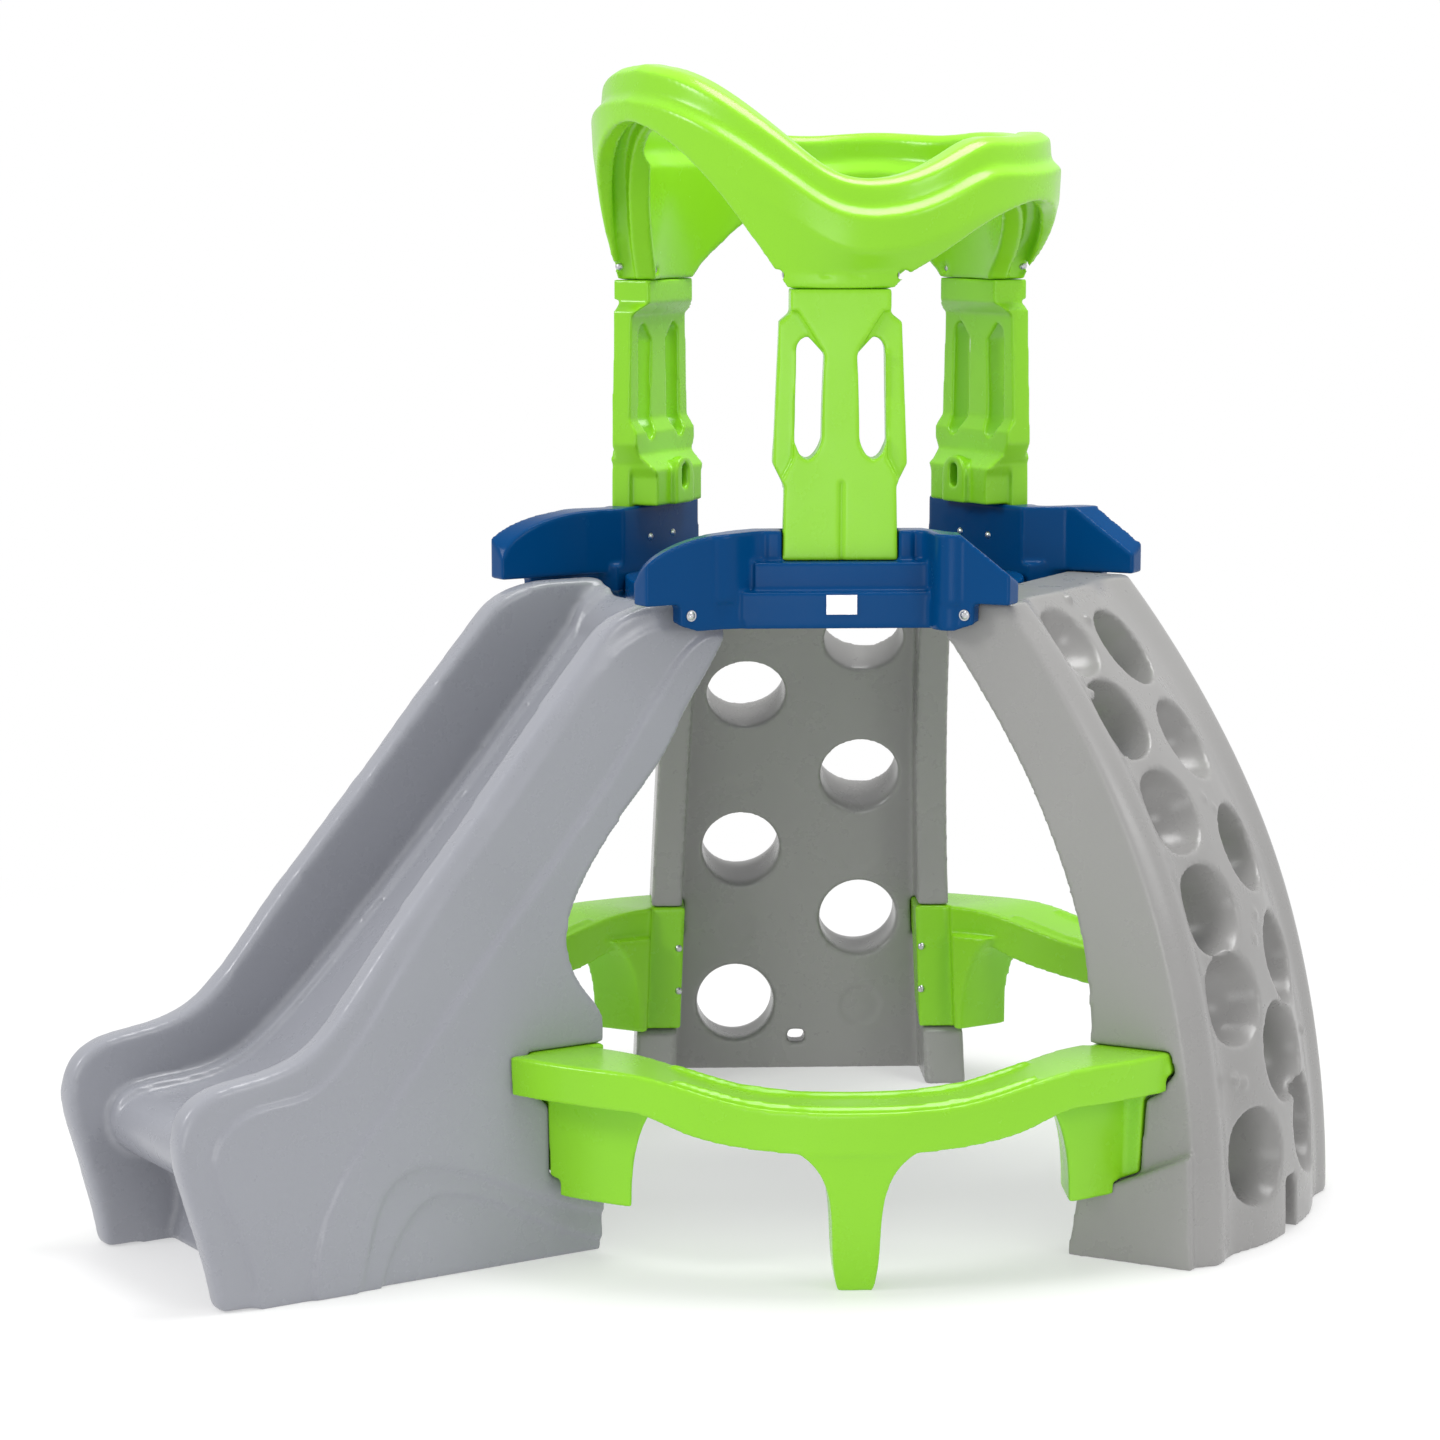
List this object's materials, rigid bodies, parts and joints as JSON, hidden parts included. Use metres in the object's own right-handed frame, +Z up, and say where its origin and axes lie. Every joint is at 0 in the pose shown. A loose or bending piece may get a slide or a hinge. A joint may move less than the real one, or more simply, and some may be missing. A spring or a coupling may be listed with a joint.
{
  "type": "climber with slide",
  "caption": "Round toddler climber: deck with wavy crown, handle posts, a slide with wavy side walls, curved climbing walls with round holds, and curved benches between them",
  "frame": {"origin": "on the floor, under the middle of the whole climber's box", "axes": "+Z up, the slide's exit points to -Y, the slide and the back right post lie on the plane X = 0; the longest extent is along Y"},
  "size_m": [1.244, 1.5491, 1.382],
  "materials": {
    "grey_plastic": "satin rotomoulded polyethylene, cool grey",
    "warm_grey_plastic": "satin rotomoulded polyethylene, warm grey",
    "green_plastic": "satin rotomoulded polyethylene, lime green",
    "blue_plastic": "satin rotomoulded polyethylene, deep blue",
    "badge": "blank printed label",
    "zinc_steel": "zinc plated"
  },
  "bodies": {
    "root": {"slide": "grey_plastic", "right_climbing_wall": "warm_grey_plastic", "rear_climbing_wall": "warm_grey_plastic", "deck": "blue_plastic", "front_guard": "blue_plastic", "back_left_guard": "blue_plastic", "back_right_guard": "blue_plastic", "badge_plate": "badge", "front_post": "green_plastic", "back_left_post": "green_plastic", "back_right_post": "green_plastic", "crown": "green_plastic", "front_bench": "green_plastic", "back_left_bench": "green_plastic", "back_right_bench": "green_plastic", "guard_bolts": "zinc_steel", "guard_bolt_washers": "zinc_steel", "guard_screws": "zinc_steel", "crown_screws": "zinc_steel", "bench_screws": "zinc_steel"}
  },
  "joints": []
}
